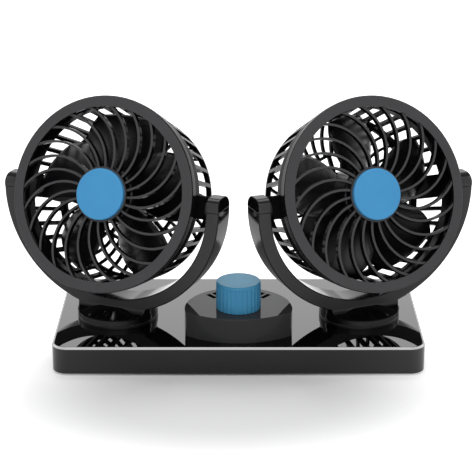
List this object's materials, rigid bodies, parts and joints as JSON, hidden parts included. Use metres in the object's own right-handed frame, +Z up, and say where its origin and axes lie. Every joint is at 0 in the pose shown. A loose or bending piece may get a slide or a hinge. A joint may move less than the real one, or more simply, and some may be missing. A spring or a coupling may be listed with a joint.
{
  "type": "car fan",
  "caption": "Dashboard fan with caged heads that tilt in swivelling yokes, on a flat base with a blue speed knob.",
  "frame": {"origin": "middle of the underside of the adhesive pad, on the surface that the fan stands on", "axes": "+Z up, the front with the knob looks along -Y, +X to the right seen from the front"},
  "size_m": [0.2662, 0.1156, 0.1442],
  "materials": {
    "gloss_black_abs": "gloss",
    "satin_black_abs": "satin",
    "black_abs": "matte",
    "yoke_abs": "satin",
    "grille_abs": "satin",
    "cage_abs": "satin",
    "rotor_pp": "satin",
    "blue_disc_abs": "satin",
    "blue_knob_abs": "satin",
    "white_nylon": "satin",
    "lead_pvc": "satin",
    "foam": "matte",
    "black_rubber": "matte",
    "ceramic": "matte",
    "ferrite": "matte",
    "core_steel": "satin",
    "steel": "satin",
    "brass": "satin"
  },
  "bodies": {
    "base": {"base_cover": "gloss_black_abs", "base_plate": "black_abs", "base_screws": "steel", "adhesive_pad": "foam", "switch_housing": "satin_black_abs", "housing_screws": "steel", "rotary_switch": "black_abs", "switch_nut": "steel", "speed_resistor": "ceramic", "cable_gland": "black_rubber", "supply_lead": "lead_pvc", "left_lead": "lead_pvc", "right_lead": "lead_pvc", "left_swivel_ring": "black_abs", "right_swivel_ring": "black_abs"},
    "knob": {"knob": "blue_knob_abs", "switch_shaft": "white_nylon"},
    "left_yoke": {"left_yoke": "yoke_abs", "left_inner_pivot_cap": "yoke_abs", "left_outer_pivot_cap": "yoke_abs", "left_swivel_washer": "steel", "left_swivel_nut": "steel"},
    "left_head": {"left_front_grille": "grille_abs", "left_center_disc": "blue_disc_abs", "left_rear_cage": "cage_abs", "left_tilt_washers": "black_rubber", "left_motor_can": "steel", "left_motor_end_bell": "white_nylon", "left_motor_brushes": "brass", "left_motor_bushes": "brass", "left_motor_magnets": "ferrite", "left_motor_screws": "steel", "left_motor_cover": "black_abs"},
    "left_rotor": {"left_fan_rotor": "rotor_pp", "left_motor_shaft": "steel", "left_motor_armature": "core_steel"},
    "right_yoke": {"right_yoke": "yoke_abs", "right_inner_pivot_cap": "yoke_abs", "right_outer_pivot_cap": "yoke_abs", "right_swivel_washer": "steel", "right_swivel_nut": "steel"},
    "right_head": {"right_front_grille": "grille_abs", "right_center_disc": "blue_disc_abs", "right_rear_cage": "cage_abs", "right_tilt_washers": "black_rubber", "right_motor_can": "steel", "right_motor_end_bell": "white_nylon", "right_motor_brushes": "brass", "right_motor_bushes": "brass", "right_motor_magnets": "ferrite", "right_motor_screws": "steel", "right_motor_cover": "black_abs"},
    "right_rotor": {"right_fan_rotor": "rotor_pp", "right_motor_shaft": "steel", "right_motor_armature": "core_steel"}
  },
  "joints": [
    {"name": "knob_turn", "type": "hinge", "parent": "base", "child": "knob", "pos_m": [0, -0.028, 0.0384], "axis": [0, 0, 1], "range_deg": [-76, 0]},
    {"name": "left_swivel", "type": "hinge", "parent": "base", "child": "left_yoke", "pos_m": [-0.06907, -0.0029, 0.0176], "axis": [0, 0, 1], "range_deg": [-147.2, 192.8]},
    {"name": "left_tilt", "type": "hinge", "parent": "left_yoke", "child": "left_head", "pos_m": [-0.06907, -0.0029, 0.0872], "axis": [-0.9219, 0.3875, 0], "range_deg": [-109.45, 70.55]},
    {"name": "left_spin", "type": "hinge", "parent": "left_head", "child": "left_rotor", "pos_m": [-0.06907, -0.0029, 0.0872], "axis": [-0.3654, -0.8693, 0.333], "continuous": true},
    {"name": "right_swivel", "type": "hinge", "parent": "base", "child": "right_yoke", "pos_m": [0.06907, -0.0029, 0.0176], "axis": [0, 0, 1], "range_deg": [-192.8, 147.2]},
    {"name": "right_tilt", "type": "hinge", "parent": "right_yoke", "child": "right_head", "pos_m": [0.06907, -0.0029, 0.0872], "axis": [-0.9219, -0.3875, 0], "range_deg": [-109.45, 70.55]},
    {"name": "right_spin", "type": "hinge", "parent": "right_head", "child": "right_rotor", "pos_m": [0.06907, -0.0029, 0.0872], "axis": [0.3654, -0.8693, 0.333], "continuous": true}
  ]
}
